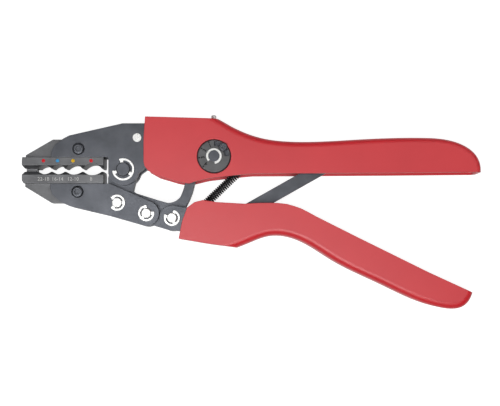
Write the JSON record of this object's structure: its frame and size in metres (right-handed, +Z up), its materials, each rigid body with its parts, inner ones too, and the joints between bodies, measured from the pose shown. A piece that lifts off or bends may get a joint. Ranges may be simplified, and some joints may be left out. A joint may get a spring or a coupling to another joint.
{
  "type": "ratchet crimping tool",
  "caption": "Hand crimping tool with two die halves, an adjustable ratchet, a toggle strut, a return spring and two red channel handles",
  "frame": {"origin": "centre of the bounding box at its lowest plane, under the middle of the tool as it lies flat", "axes": "+X along the handles away from the jaws, +Y across from the lower handle to the upper one, +Z up out of the tool's front face"},
  "size_m": [0.2266, 0.0964, 0.0192],
  "materials": {
    "handle_red": "smooth satin powder coat",
    "black_steel": "blue-black oxide finish, lightly oiled",
    "die_steel": "blue-black oxide with ground edges",
    "bright_steel": "bright zinc-plated steel",
    "black_wheel": "black oxide",
    "spring_steel": "dark oiled spring wire"
  },
  "bodies": {
    "frame": {"upper_jaw_plate_front": "black_steel", "upper_jaw_plate_rear": "black_steel", "frame_rivet": "bright_steel", "frame_spacer": "black_steel", "upper_die": "die_steel", "upper_die_screw": "black_steel", "upper_die_nut": "black_steel", "main_pivot_pin": "black_steel", "main_pivot_clip": "bright_steel", "upper_handle": "handle_red", "strut_upper_pin": "bright_steel", "strut_upper_washers": "bright_steel", "spring_upper_pin": "bright_steel", "return_spring": "spring_steel", "lock_screw": "black_steel", "pawl_spring_anchor": "bright_steel", "pawl_spring": "spring_steel"},
    "adjuster": {"adjuster_wheel": "black_wheel", "adjuster_shaft": "black_steel", "adjuster_clip": "bright_steel"},
    "pawl": {"ratchet_pawl": "black_steel"},
    "lower_jaw": {"jaw_lever": "black_steel", "lower_jaw_plate_front": "black_steel", "lower_jaw_plate_rear": "black_steel", "lower_die": "die_steel", "lower_die_screw": "black_steel", "lower_die_nut": "black_steel", "front_jaw_pin": "bright_steel", "front_jaw_pin_clip": "bright_steel", "rear_jaw_pin": "bright_steel", "rear_jaw_pin_clip": "bright_steel", "handle_pivot_pin": "bright_steel", "handle_pivot_clip": "bright_steel"},
    "lower_lever": {"handle_lever_front": "black_steel", "handle_lever_rear": "black_steel", "lower_handle": "handle_red", "strut_lower_pin": "bright_steel", "strut_lower_washers": "bright_steel"},
    "strut": {"toggle_strut": "black_steel"}
  },
  "joints": [
    {"name": "lower_handle_pivot", "type": "hinge", "parent": "lower_jaw", "child": "lower_lever", "pos_m": [-0.03921, -0.00336, 0.0086], "axis": [0, 0, 1], "range_deg": [-24.36, 4.87]},
    {"name": "jaw_pivot", "type": "hinge", "parent": "frame", "child": "lower_jaw", "pos_m": [-0.06321, 0.02054, 0.0086], "axis": [0, 0, 1], "range_deg": [-1.75, 8.55], "deforming": ["return_spring"]},
    {"name": "strut_pivot", "type": "hinge", "parent": "frame", "child": "strut", "pos_m": [0.04379, 0.02654, 0.0086], "axis": [0, 0, 1], "range_deg": [-0.54, 2.48]},
    {"name": "adjuster_turn", "type": "hinge", "parent": "frame", "child": "adjuster", "pos_m": [-0.01841, 0.02684, 0.0086], "axis": [0, 0, 1], "range_deg": [-28, 28], "deforming": ["pawl_spring"]},
    {"name": "pawl_pivot", "type": "hinge", "parent": "adjuster", "child": "pawl", "pos_m": [-0.01848, 0.02733, 0.0086], "axis": [0, 0, 1], "range_deg": [-20, 20], "deforming": ["pawl_spring"]}
  ],
  "couplings": [
    {"joint": "jaw_pivot", "follows": "lower_handle_pivot", "ratio": -0.34892},
    {"joint": "strut_pivot", "follows": "lower_handle_pivot", "ratio": -0.09979}
  ]
}
